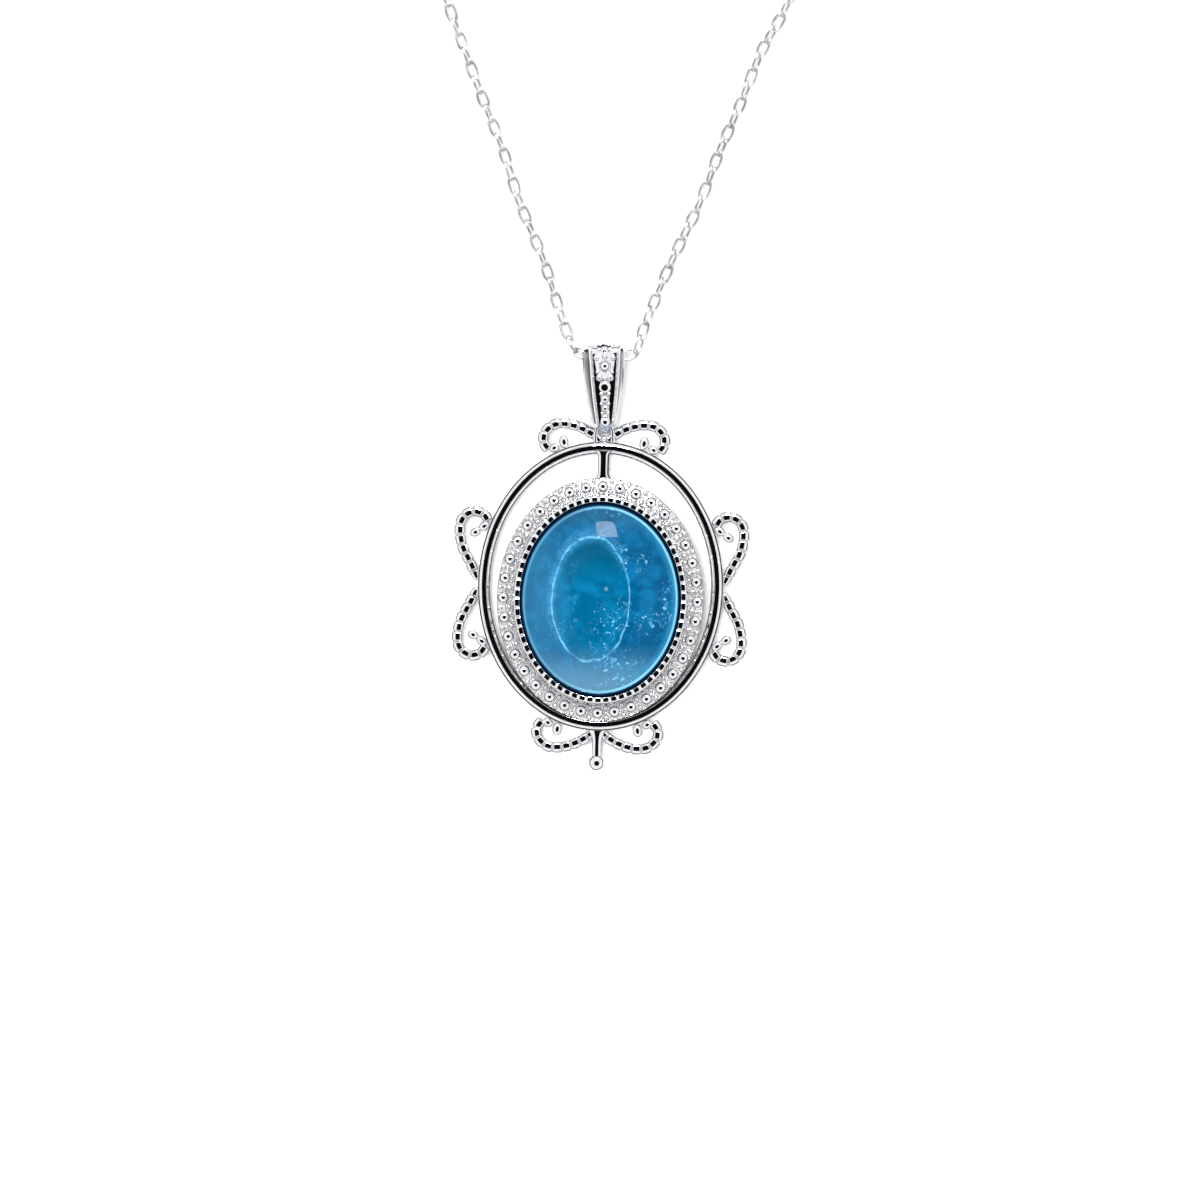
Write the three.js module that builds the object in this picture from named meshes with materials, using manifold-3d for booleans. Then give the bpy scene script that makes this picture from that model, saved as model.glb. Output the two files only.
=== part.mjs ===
// Pendant necklace: an oval ring with eight scrolls carries a beaded medallion and its cabochon.
// The pendant hangs from a hinged bail, and the bail runs on a fine cable chain with a lobster clasp.
// Millimetres, +Z up, +Y towards the chain. Everything lies on the surface z = 0, front side up.
// Lengths below are given from the middle of the oval ring; the whole group is then moved so that
// the origin is under the middle of the pendant and its bail.

import * as THREE from 'three';
import * as BufferGeometryUtils from 'three/addons/utils/BufferGeometryUtils.js';
import Module from 'manifold-3d';

const wasm = await Module();
wasm.setup();

// ---------------------------------------------------------------- driving dimensions

const GAP = 0.05;

const RING = { semiX: 12.28, semiY: 14.47, width: 1.22, height: 1.7 };
const MEDALLION = { semiX: 10.35, semiY: 12.23, centreY: -1.35, rimBottom: 1.2, top: 1.75 };
const GALLERY = { outerOffset: 1.55, innerOffset: 2.15 };
const BEADS = { count: 36, innerOffset: 1.5, base: 1.8, height: 0.5 };
const BEZEL = { semiX: 8.66, semiY: 10.36, wall: 0.5, lip: 0.62, top: 3.2 };
const STONE = { semiX: 8.0, semiY: 9.65, bottom: 1.8, girdle: 2.4, top: 5.9 };
const SEAT = { semiX: 8.08, semiY: 9.94, windowX: 3.85, windowY: 6.45, bottom: 1.25, thickness: 0.45 };
const BAR = { width: 1.0, flare: 1.6, bottom: 0.8, top: 1.6 };
const SCROLL = { wire: 0.4, endBead: 0.5, curlBead: 0.45, height: 0.85 };
const DROP = { stemRadius: 0.38, ballRadius: 0.84, ballY: -17.72 };
const LINK_LOOP = { halfWidth: 0.8, wire: 0.27, axisY: 16.0, axisZ: 0.9 };
const JUNCTION_BEAD = { radius: 0.27, y: 14.82 };
const BAIL = {
  topY: 24.38, topRadius: 1.6, wall: 0.45, lipY: 16.2, lipTop: 2.45, lipBottom: 2.0,
  halfTop: 2.1, halfMiddle: 1.85, middleY: 19.0, halfBottom: 1.3,
  rim: 0.45, recess: 0.25, eyeRadius: 0.75, eyeHole: 0.36, eyeHalfWidth: 0.42,
};
const CHAIN = { diameter: 1.24, bailZ: 1.4 };
const COIL = { x: 2, y: 75.8, inner: 7.85, outer: 15.6 };
const CLASP = { bottom: 0.4, thickness: 1.2, pivotX: -1.45, pivotY: 0.95, pinRadius: 0.22, turn: 121 };

const RING_SEGMENTS = 64;
const CHAIN_SIDES = 8;
const WIRE_SIDES = 6;

const bailCentreY = BAIL.topY - BAIL.topRadius;
const dropBottomY = DROP.ballY - DROP.ballRadius;
const ORIGIN_Y = (BAIL.topY + dropBottomY) / 2;
const chainRadius = CHAIN.diameter / 2;

// ---------------------------------------------------------------- finishes

const finishes = {
  silver: new THREE.MeshStandardMaterial({ color: 0xdcdde0, metalness: 1, roughness: 0.12 }),
  chain: new THREE.MeshStandardMaterial({ color: 0xd6d8dc, metalness: 1, roughness: 0.2 }),
  stone: new THREE.MeshStandardMaterial({ color: 0x1878a8, metalness: 0, roughness: 0.05 }),
  spring: new THREE.MeshStandardMaterial({ color: 0xaeb0b4, metalness: 1, roughness: 0.3 }),
};

// ---------------------------------------------------------------- geometry helpers

function toSolid(geometry) {
  const bare = geometry.clone();
  bare.deleteAttribute('normal');
  bare.deleteAttribute('uv');
  const merged = BufferGeometryUtils.mergeVertices(bare, 1e-4);
  const mesh = new wasm.Mesh({
    numProp: 3,
    vertProperties: new Float32Array(merged.attributes.position.array),
    triVerts: new Uint32Array(merged.index.array),
  });
  return new wasm.Manifold(mesh);
}

function toGeometry(solid) {
  const mesh = solid.getMesh();
  const geometry = new THREE.BufferGeometry();
  geometry.setAttribute('position', new THREE.BufferAttribute(new Float32Array(mesh.vertProperties), 3));
  geometry.setIndex(new THREE.BufferAttribute(new Uint32Array(mesh.triVerts), 1));
  geometry.computeVertexNormals();
  return geometry;
}

function circleShape(radius, sides) {
  const points = [];
  for (let i = 0; i < sides; i += 1) {
    const angle = (2 * Math.PI * i) / sides;
    points.push(new THREE.Vector2(radius * Math.cos(angle), radius * Math.sin(angle)));
  }
  return new THREE.Shape(points);
}

function tubeAlong(points, radius, steps, sides = WIRE_SIDES) {
  const path = new THREE.CatmullRomCurve3(points, false, 'centripetal');
  const options = { steps, extrudePath: path, bevelEnabled: false };
  return new THREE.ExtrudeGeometry(circleShape(radius, sides), options);
}

// A band that runs round an oval. Its closed profile is a list of [inward offset, height] pairs,
// the same number of them at every angle.
function ovalBand(semiX, semiY, profileAt, segments) {
  const rows = [];
  for (let i = 0; i < segments; i += 1) {
    const angle = (2 * Math.PI * i) / segments;
    rows.push(profileAt(angle, i).map(([offset, height]) => [
      (semiX - offset) * Math.cos(angle),
      (semiY - offset) * Math.sin(angle),
      height,
    ]));
  }
  const width = rows[0].length;
  const index = [];
  for (let i = 0; i < segments; i += 1) {
    const next = (i + 1) % segments;
    for (let j = 0; j < width; j += 1) {
      const side = (j + 1) % width;
      index.push(i * width + j, next * width + side, next * width + j);
      index.push(i * width + j, i * width + side, next * width + side);
    }
  }
  const geometry = new THREE.BufferGeometry();
  geometry.setAttribute('position', new THREE.Float32BufferAttribute(rows.flat(2), 3));
  geometry.setIndex(index);
  geometry.computeVertexNormals();
  return geometry;
}

// A shape drawn in the (y, z) plane and carried from -halfWidth to +halfWidth along x.
function slabAlongX(pairs, halfWidth) {
  const shape = new THREE.Shape(pairs.map(([y, z]) => new THREE.Vector2(y, z)));
  const slab = new THREE.ExtrudeGeometry(shape, { depth: 2 * halfWidth, bevelEnabled: false });
  slab.translate(0, 0, -halfWidth);
  slab.rotateY(Math.PI / 2);
  slab.rotateX(Math.PI / 2);
  return slab;
}

function flatPlate(shape, bottom, thickness, curveSegments = 6) {
  const options = { depth: thickness, bevelEnabled: false, curveSegments };
  return new THREE.ExtrudeGeometry(shape, options).translate(0, 0, bottom);
}

function rodAlongX(radius, length, sides = 24) {
  return new THREE.CylinderGeometry(radius, radius, length, sides).rotateZ(Math.PI / 2);
}

function rodAlongZ(radius, bottom, top, sides = 16) {
  const rod = new THREE.CylinderGeometry(radius, radius, top - bottom, sides);
  return rod.rotateX(Math.PI / 2).translate(0, 0, (top + bottom) / 2);
}

function ball(radius, x, y, z) {
  return new THREE.SphereGeometry(radius, 8, 6).translate(x, y, z);
}

function splineShape(points) {
  const curve = new THREE.SplineCurve(points.map(([x, y]) => new THREE.Vector2(x, y)));
  return curve.getPoints(points.length * 3);
}

// ---------------------------------------------------------------- assembly

const necklace = new THREE.Group();
necklace.position.y = -ORIGIN_Y;

function add(name, geometry, finish, parent = necklace) {
  const mesh = new THREE.Mesh(geometry, finishes[finish]);
  mesh.name = name;
  parent.add(mesh);
  return mesh;
}

// ---------------------------------------------------------------- the oval ring and its ornaments

function outerRing() {
  const profile = [
    [0, 0], [RING.width, 0], [RING.width, 0.7], [0.85, 0.95],
    [0.8, RING.height], [0.35, RING.height], [0, 0.9],
  ];
  return ovalBand(RING.semiX, RING.semiY, () => profile, RING_SEGMENTS);
}

// Moves a point of an ornament outwards until its wire stands clear of the ring.
function clearOfRing(x, y) {
  const spare = SCROLL.wire + GAP;
  const reach = Math.hypot(x / (RING.semiX + spare), y / (RING.semiY + spare));
  const push = Math.max(1, 1 / reach);
  return new THREE.Vector3(x * push, y * push, SCROLL.height);
}

const sideScroll = {
  route: [
    [12.8, 0.75], [12.95, 1.8], [13.85, 3.55], [14.2, 5.45], [13.5, 6.95], [12.65, 7.2],
    [11.85, 6.75], [11.5, 6.2], [11.9, 5.6],
  ],
  end: [12.62, 5.1],
};
const endScroll = {
  route: [
    [1.32, 15.3], [2.3, 15.8], [4.1, 16.2], [5.75, 15.5], [6.05, 14.8], [5.86, 14.0],
    [5.5, 13.6], [4.95, 13.75],
  ],
  end: [4.25, 14.3],
};

function scroll({ route, end }, flipX, flipY) {
  const place = ([x, y]) => {
    const point = clearOfRing(x, y);
    return new THREE.Vector3(point.x * flipX, point.y * flipY, point.z);
  };
  const points = [...route, end].map(place);
  const curl = points[points.length - 2];
  const tip = points[points.length - 1];
  const wire = toSolid(tubeAlong(points, SCROLL.wire, 18));
  const curlBead = toSolid(ball(SCROLL.curlBead - GAP, curl.x, curl.y, curl.z));
  const endBead = toSolid(ball(SCROLL.endBead, tip.x, tip.y, tip.z));
  return toGeometry(wire.add(curlBead).add(endBead));
}

function topBar() {
  const low = MEDALLION.centreY + MEDALLION.semiY + GAP;
  const high = RING.semiY - RING.width - 2 * GAP;
  const middle = (low + high) / 2;
  const half = BAR.width / 2;
  const flare = BAR.flare / 2;
  const shape = new THREE.Shape();
  shape.moveTo(-flare, low);
  shape.lineTo(flare, low);
  shape.quadraticCurveTo(half, low + 0.3, half, middle);
  shape.quadraticCurveTo(half, high - 0.3, flare, high);
  shape.lineTo(-flare, high);
  shape.quadraticCurveTo(-half, high - 0.3, -half, middle);
  shape.quadraticCurveTo(-half, low + 0.3, -flare, low);
  return flatPlate(shape, BAR.bottom, BAR.top - BAR.bottom);
}

function dropStem() {
  const top = -RING.semiY - GAP;
  const bottom = DROP.ballY + DROP.ballRadius + GAP;
  const stem = new THREE.CylinderGeometry(DROP.stemRadius, DROP.stemRadius, top - bottom, 16);
  return stem.translate(0, (top + bottom) / 2, DROP.ballRadius);
}

// The staple on top of the ring that the bail's eye turns on.
function hingeLoop() {
  const { halfWidth, wire, axisY, axisZ } = LINK_LOOP;
  const foot = RING.semiY + GAP;
  const corner = wire + 0.02;
  const points = [
    [-halfWidth, foot], [-halfWidth, axisY - 2 * corner], [-halfWidth, axisY - corner],
    [-halfWidth + corner, axisY], [halfWidth - corner, axisY], [halfWidth, axisY - corner],
    [halfWidth, axisY - 2 * corner], [halfWidth, foot],
  ].map(([x, y]) => new THREE.Vector3(x, y, axisZ));
  return tubeAlong(points, wire, 24);
}

// ---------------------------------------------------------------- the medallion and its stone

function medallionPlate() {
  const profile = [
    [0, MEDALLION.rimBottom], [0.3, 1.1], [1.45, 1.0], [GALLERY.outerOffset, 0],
    [GALLERY.innerOffset, 0], [GALLERY.innerOffset, MEDALLION.top],
    [0.15, MEDALLION.top], [0, MEDALLION.top - 0.15],
  ];
  return ovalBand(MEDALLION.semiX, MEDALLION.semiY, () => profile, RING_SEGMENTS);
}

function beadBorder() {
  const segmentsPerBead = 2;
  const profileAt = (angle, i) => {
    const onBead = i % segmentsPerBead === 0;
    const crown = BEADS.base + (onBead ? BEADS.height : 0.2);
    return [
      [0.15, BEADS.base], [BEADS.innerOffset, BEADS.base], [BEADS.innerOffset, BEADS.base + 0.1],
      [1.0, crown], [0.45, crown], [0.15, BEADS.base + 0.1],
    ];
  };
  return ovalBand(MEDALLION.semiX, MEDALLION.semiY, profileAt, BEADS.count * segmentsPerBead);
}

// The wall round the stone; its lip leans in over the edge of the stone.
function bezelWall() {
  const base = MEDALLION.top + GAP;
  const profile = [
    [0, base], [BEZEL.wall, base], [BEZEL.wall, 2.7], [BEZEL.lip, BEZEL.top - 0.05],
    [0.4, BEZEL.top], [0.1, BEZEL.top - 0.1],
  ];
  return ovalBand(BEZEL.semiX, BEZEL.semiY, () => profile, RING_SEGMENTS);
}

function stoneSeat() {
  const plate = new THREE.Shape();
  plate.absellipse(0, 0, SEAT.semiX, SEAT.semiY, 0, 2 * Math.PI);
  const window = new THREE.Path();
  window.absellipse(0, 0, SEAT.windowX, SEAT.windowY, 0, 2 * Math.PI);
  plate.holes.push(window);
  return flatPlate(plate, SEAT.bottom, SEAT.thickness, 20);
}

// The stone is a low dome: a flat back, a short straight girdle and an elliptical crown.
function cabochon() {
  const crownHeight = STONE.top - STONE.girdle;
  const profile = [new THREE.Vector2(0, STONE.bottom), new THREE.Vector2(0.97, STONE.bottom)];
  profile.push(new THREE.Vector2(1, STONE.bottom + 0.15));
  const rings = 7;
  for (let i = 0; i <= rings; i += 1) {
    const angle = (Math.PI / 2) * (i / rings);
    const radius = i === rings ? 0 : Math.cos(angle);
    profile.push(new THREE.Vector2(radius, STONE.girdle + crownHeight * Math.sin(angle)));
  }
  const dome = new THREE.LatheGeometry(profile, 36).rotateX(Math.PI / 2);
  dome.scale(STONE.semiX, STONE.semiY, 1);
  return dome;
}

// ---------------------------------------------------------------- the bail

function bailHalfWidthAt(y) {
  if (y > BAIL.middleY) {
    const share = Math.min(1, (y - BAIL.middleY) / (bailCentreY - BAIL.middleY));
    return THREE.MathUtils.lerp(BAIL.halfMiddle, BAIL.halfTop, share);
  }
  const share = (y - BAIL.lipY) / (BAIL.middleY - BAIL.lipY);
  return THREE.MathUtils.lerp(BAIL.halfBottom, BAIL.halfMiddle, share);
}

const bailFrontSlope = Math.atan2(2 * BAIL.topRadius - BAIL.lipTop, bailCentreY - BAIL.lipY);

function bailFrontHeightAt(y) {
  return BAIL.lipTop + (y - BAIL.lipY) * Math.tan(bailFrontSlope);
}

function bailPlan(inset, bottom, top) {
  const rows = [bottom, BAIL.middleY, bailCentreY, top];
  const right = rows.map((y) => new THREE.Vector2(bailHalfWidthAt(y) - inset, y));
  const left = [...right].reverse().map(({ x, y }) => new THREE.Vector2(-x, y));
  return new THREE.Shape([...right, ...left]);
}

// Points of an arc about the middle of the bail's round top, from the front over the top to the back.
function bailArc(radius, steps) {
  const pairs = [];
  for (let i = 0; i <= steps; i += 1) {
    const angle = Math.PI / 2 - (Math.PI * i) / steps;
    pairs.push([bailCentreY + radius * Math.cos(angle), BAIL.topRadius + radius * Math.sin(angle)]);
  }
  return pairs;
}

function bailShell() {
  const { axisY, axisZ } = LINK_LOOP;
  const innerRadius = BAIL.topRadius - BAIL.wall;
  const outside = [
    [BAIL.lipY, BAIL.lipBottom], [BAIL.lipY, BAIL.lipTop], ...bailArc(BAIL.topRadius, 14),
    [17.6, 0], [16.9, 0.35], [16.9, 1.6],
  ].reverse();
  const inside = [
    [18.3, 0.9], [18.3, 1.9], ...bailArc(innerRadius, 12), [18.9, BAIL.wall],
  ].reverse();
  const tube = toSolid(slabAlongX(outside, 3)).subtract(toSolid(slabAlongX(inside, 4)));
  const plan = toSolid(flatPlate(bailPlan(0, BAIL.lipY - 0.2, BAIL.topY + 0.2), -1, 6));
  const swing = toSolid(rodAlongX(1.12, 8).translate(0, axisY, axisZ));
  const eye = toSolid(rodAlongX(BAIL.eyeRadius, 2 * BAIL.eyeHalfWidth).translate(0, axisY, axisZ));
  const neckBox = new THREE.BoxGeometry(2 * BAIL.eyeHalfWidth, 1.0, 0.8);
  const neck = toSolid(neckBox.translate(0, axisY + 0.95, axisZ));
  const hole = toSolid(rodAlongX(BAIL.eyeHole, 2).translate(0, axisY, axisZ));
  const channelPlan = flatPlate(bailPlan(BAIL.rim, BAIL.lipY + 0.35, bailCentreY), 0, 3);
  channelPlan.applyMatrix4(frontShear(-BAIL.recess));
  const channel = toSolid(channelPlan);
  const shell = tube.intersect(plan).subtract(swing).subtract(channel);
  return toGeometry(shell.add(eye).add(neck).subtract(hole));
}

// Lifts a flat shape onto the sloping front of the bail, at the given height above it.
function frontShear(lift) {
  const slope = Math.tan(bailFrontSlope);
  const start = BAIL.lipTop - BAIL.lipY * slope + lift;
  return new THREE.Matrix4().set(1, 0, 0, 0, 0, 1, 0, 0, 0, slope, 1, start, 0, 0, 0, 1);
}

// The row of beads that stands on a narrow strip in the bail's channel, smaller towards the bottom.
function bailBeadStrip() {
  const lift = GAP - BAIL.recess;
  const outline = new THREE.Shape([
    new THREE.Vector2(-0.4, 16.75), new THREE.Vector2(0.4, 16.75),
    new THREE.Vector2(0.55, 22.6), new THREE.Vector2(-0.55, 22.6),
  ]);
  const stripPlate = flatPlate(outline, 0, 0.12);
  stripPlate.applyMatrix4(frontShear(lift));
  let strip = toSolid(stripPlate);
  const beads = [[22.0, 0.6], [19.9, 0.48], [18.6, 0.4], [17.7, 0.34], [16.95, 0.28]];
  for (const [y, radius] of beads) {
    const floor = bailFrontHeightAt(y) + lift;
    const whole = toSolid(ball(radius, 0, y, floor + 0.1));
    const below = new THREE.BoxGeometry(3, 3, 2).translate(0, y, -1);
    below.applyMatrix4(frontShear(lift + 0.02));
    strip = strip.add(whole.subtract(toSolid(below)));
  }
  return toGeometry(strip);
}

// ---------------------------------------------------------------- the chain

const CHAIN_ROUTE = [
  [-4.3, 60.6], [-7.2, 61.6], [-10.2, 63.4], [-13.3, 64.9], [-16.4, 64.0], [-17.6, 61.2],
  [-16.5, 57.6], [-15.0, 53.7], [-12.8, 48.2], [-10.9, 43.7], [-8.9, 38.0], [-6.6, 32.8],
  [-5.0, 28.2], [-3.9, 25.2], [-3.35, 24.1], [-2.75, 23.4],
  [-1.9, 23.2], [0, 23.2], [1.9, 23.2],
  [2.75, 23.4], [3.25, 24.2], [3.6, 25.6], [4.7, 28.6], [6.5, 33.1], [9.0, 38.6], [10.8, 43.6],
  [12.9, 48.8], [15.0, 54.3], [16.8, 57.65], [18.1, 61.0], [18.7, 64.6], [18.6, 68.2], [17.9, 71.7],
];

// The chain lies on the surface and climbs to the hole of the bail.
function chainHeightAt(x) {
  const climb = THREE.MathUtils.smoothstep(5.2 - Math.abs(x), 0, 3.0);
  return THREE.MathUtils.lerp(chainRadius, CHAIN.bailZ, climb);
}

function chainStrand() {
  const onTable = (x, y) => (y > 30 ? chainRadius : chainHeightAt(x));
  const points = CHAIN_ROUTE.map(([x, y]) => new THREE.Vector3(x, y, onTable(x, y)));
  return tubeAlong(points, chainRadius, 80, CHAIN_SIDES);
}

function chainCoil() {
  const edge = 0.25;
  const profile = [
    [COIL.inner + edge, 0], [COIL.outer - edge, 0], [COIL.outer, edge],
    [COIL.outer, CHAIN.diameter - edge], [COIL.outer - edge, CHAIN.diameter],
    [COIL.inner + edge, CHAIN.diameter], [COIL.inner, CHAIN.diameter - edge],
    [COIL.inner, edge], [COIL.inner + edge, 0],
  ].map(([radius, height]) => new THREE.Vector2(radius, height));
  const ring = new THREE.LatheGeometry(profile, 36);
  return ring.rotateX(Math.PI / 2).translate(COIL.x, COIL.y, 0);
}

// ---------------------------------------------------------------- the clasp, in the middle of the coil

const clasp = new THREE.Group();
clasp.position.set(COIL.x, COIL.y, 0);
clasp.rotation.z = THREE.MathUtils.degToRad(CLASP.turn);

const claspTop = CLASP.bottom + CLASP.thickness;
const SLOT = { bottom: 0.6, top: 1.4, floor: 0.4 };

function claspBody() {
  const outer = splineShape([
    [-2.7, -0.4], [-1.2, -1.45], [1.0, -1.75], [2.9, -1.3], [3.7, 0], [3.0, 1.35], [1.85, 1.75],
  ]);
  const inner = splineShape([
    [1.8, 1.2], [2.6, 0.85], [3.1, 0], [2.4, -0.75], [1.0, -1.05], [-0.2, -0.8], [-0.6, 0.2],
  ]);
  const block = splineShape([[-0.7, 1.2], [-1.0, 1.5], [-1.6, 1.6], [-2.3, 1.2], [-2.7, 0.4]]);
  const outline = new THREE.Shape([...outer, ...inner, ...block]);
  const hook = toSolid(flatPlate(outline, CLASP.bottom, CLASP.thickness));
  const tail = toSolid(rodAlongZ(0.85, SLOT.bottom, SLOT.top, 20).translate(-3.2, 0, 0));
  const tailHole = toSolid(rodAlongZ(0.42, 0, 2).translate(-3.2, 0, 0));
  const slotBox = new THREE.BoxGeometry(2.3, 2, SLOT.top - SLOT.bottom);
  const slot = toSolid(slotBox.translate(-1.05, SLOT.floor + 1, (SLOT.top + SLOT.bottom) / 2));
  const pinHole = toSolid(
    rodAlongZ(CLASP.pinRadius + GAP, 0, 2).translate(CLASP.pivotX, CLASP.pivotY, 0),
  );
  return toGeometry(hook.add(tail).subtract(tailHole).subtract(slot).subtract(pinHole));
}

// The sprung gate: it turns on its pin and swings into the hook.
function claspLever() {
  const bottom = 0.65;
  const top = 1.1;
  const arm = splineShape([
    [-1.5, 1.4], [-0.6, 1.75], [-0.1, 2.1], [0.3, 1.8], [1.0, 1.65], [1.7, 1.55],
    [1.68, 1.15], [0.6, 1.05], [-0.6, 0.95], [-1.4, 0.6],
  ]);
  const blade = toSolid(flatPlate(new THREE.Shape(arm), bottom, top - bottom));
  const hub = toSolid(rodAlongZ(0.5, bottom, top).translate(CLASP.pivotX, CLASP.pivotY, 0));
  const hole = toSolid(
    rodAlongZ(CLASP.pinRadius + GAP, 0, 2).translate(CLASP.pivotX, CLASP.pivotY, 0),
  );
  return toGeometry(blade.add(hub).subtract(hole));
}

function claspPin() {
  const pin = rodAlongZ(CLASP.pinRadius, CLASP.bottom + GAP, claspTop - GAP);
  return pin.translate(CLASP.pivotX, CLASP.pivotY, 0);
}

function claspSpring() {
  const spring = new THREE.TorusGeometry(0.38, 0.09, 6, 12);
  return spring.translate(CLASP.pivotX, CLASP.pivotY, 1.25);
}

function standingRing(radius, wire, x) {
  const ring = new THREE.TorusGeometry(radius, wire, 6, 16);
  return ring.rotateX(Math.PI / 2).translate(x, 0, radius + wire);
}

function chainTail(fromX, toX) {
  const tail = new THREE.CylinderGeometry(chainRadius, chainRadius, Math.abs(toX - fromX), CHAIN_SIDES);
  return tail.rotateZ(Math.PI / 2).translate((fromX + toX) / 2, 0, chainRadius);
}

// ---------------------------------------------------------------- every piece, by name

add('outer_ring', outerRing(), 'silver');
for (const [side, flipX] of [['left', -1], ['right', 1]]) {
  add(`scroll_top_${side}`, scroll(endScroll, flipX, 1), 'silver');
  add(`scroll_bottom_${side}`, scroll(endScroll, flipX, -1), 'silver');
  add(`scroll_${side}_upper`, scroll(sideScroll, flipX, 1), 'silver');
  add(`scroll_${side}_lower`, scroll(sideScroll, flipX, -1), 'silver');
}
add('junction_bead', ball(JUNCTION_BEAD.radius, 0, JUNCTION_BEAD.y, LINK_LOOP.axisZ), 'silver');
add('hinge_loop', hingeLoop(), 'silver');
add('drop_stem', dropStem(), 'silver');
add('drop_ball', new THREE.SphereGeometry(DROP.ballRadius, 16, 10), 'silver')
  .position.set(0, DROP.ballY, DROP.ballRadius);
add('top_bar', topBar(), 'silver');

const medallion = new THREE.Group();
medallion.position.y = MEDALLION.centreY;
add('medallion_plate', medallionPlate(), 'silver', medallion);
add('bead_border', beadBorder(), 'silver', medallion);
add('bezel_wall', bezelWall(), 'silver', medallion);
add('stone_seat', stoneSeat(), 'silver', medallion);
add('cabochon', cabochon(), 'stone', medallion);
necklace.add(medallion);

add('bail_shell', bailShell(), 'silver');
add('bail_bead_strip', bailBeadStrip(), 'silver');

add('chain_strand', chainStrand(), 'chain');
add('chain_coil', chainCoil(), 'chain');
add('chain_tail_hook_side', chainTail(-7.0, -5.2), 'chain', clasp);
add('chain_tail_ring_side', chainTail(5.05, 7.0), 'chain', clasp);
add('clasp_body', claspBody(), 'silver', clasp);
add('clasp_lever', claspLever(), 'silver', clasp);
add('clasp_pin', claspPin(), 'silver', clasp);
add('clasp_spring', claspSpring(), 'spring', clasp);
add('clasp_ring', standingRing(0.85, 0.15, -4.05), 'chain', clasp);
add('end_ring', standingRing(1.3, 0.15, 3.4), 'chain', clasp);
necklace.add(clasp);

export default necklace;
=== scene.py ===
"""A pendant necklace lying on a white surface, seen from straight above.

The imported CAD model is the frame: every piece here is placed from it, rides on one of its bodies
and takes the place of its plain solid. Shapes are worked out in millimetres from the middle of the
pendant's oval ring, and row() turns them into the frame's metres.
"""

import math
import random

import bmesh
import bpy
from mathutils import Matrix, Vector


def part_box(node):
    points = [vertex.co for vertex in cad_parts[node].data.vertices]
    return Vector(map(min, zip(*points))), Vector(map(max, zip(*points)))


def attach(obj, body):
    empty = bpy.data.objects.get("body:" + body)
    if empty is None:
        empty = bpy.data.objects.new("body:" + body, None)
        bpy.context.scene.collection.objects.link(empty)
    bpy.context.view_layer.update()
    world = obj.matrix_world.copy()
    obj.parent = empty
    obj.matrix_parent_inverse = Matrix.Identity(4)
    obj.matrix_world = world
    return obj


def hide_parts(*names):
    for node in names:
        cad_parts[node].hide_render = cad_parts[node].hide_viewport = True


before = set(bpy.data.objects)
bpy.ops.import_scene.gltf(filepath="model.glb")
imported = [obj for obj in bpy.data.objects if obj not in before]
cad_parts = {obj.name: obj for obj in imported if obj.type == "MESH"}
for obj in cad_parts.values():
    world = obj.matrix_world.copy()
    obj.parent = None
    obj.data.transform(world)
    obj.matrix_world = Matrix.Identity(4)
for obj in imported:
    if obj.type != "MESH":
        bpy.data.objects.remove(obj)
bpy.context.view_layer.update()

MM = 0.001

ring_low, ring_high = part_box("outer_ring")
ring_middle = (ring_low + ring_high) / 2
RING_X = (ring_high.x - ring_low.x) / 2 / MM
RING_Y = (ring_high.y - ring_low.y) / 2 / MM
RING_TOP = ring_high.z / MM

plate_low, plate_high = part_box("medallion_plate")
PLATE_X = (plate_high.x - plate_low.x) / 2 / MM
PLATE_Y = (plate_high.y - plate_low.y) / 2 / MM
MEDALLION_Y = ((plate_high.y + plate_low.y) / 2 - ring_middle.y) / MM

stone_low, stone_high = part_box("cabochon")
STONE_X = (stone_high.x - stone_low.x) / 2 / MM
STONE_Y = (stone_high.y - stone_low.y) / 2 / MM
STONE_BOTTOM = stone_low.z / MM
STONE_TOP = stone_high.z / MM


def row(x, y, z):
    """A place in millimetres from the middle of the ring, in the frame's metres."""
    return (ring_middle.x + x * MM, ring_middle.y + y * MM, z * MM)


# -------- camera

# metres, except the sensor's width in millimetres and the view's middle as in row()
CAMERA_HEIGHT = 0.4
VIEW_WIDTH = 0.12
CLIP_START = 0.005
SENSOR = 36.0
VIEW_MIDDLE = (-0.02, -1.38)
VIEW_ROLL = math.radians(1.35)

camera_data = bpy.data.cameras.new("camera")
camera_data.sensor_width = SENSOR
camera_data.lens = SENSOR * CAMERA_HEIGHT / VIEW_WIDTH
camera_data.clip_start = CLIP_START
camera = bpy.data.objects.new("camera", camera_data)
camera.location = row(VIEW_MIDDLE[0], VIEW_MIDDLE[1], RING_TOP + CAMERA_HEIGHT / MM)
camera.rotation_euler = (0, 0, VIEW_ROLL)
bpy.context.scene.collection.objects.link(camera)
bpy.context.scene.camera = camera


# -------- material helpers


def srgb(text):
    """A colour written as six hex digits, as linear red, green, blue and alpha."""
    channels = [int(text[i : i + 2], 16) / 255 for i in (0, 2, 4)]
    linear = [c / 12.92 if c <= 0.04045 else ((c + 0.055) / 1.055) ** 2.4 for c in channels]
    return (*linear, 1.0)


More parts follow.
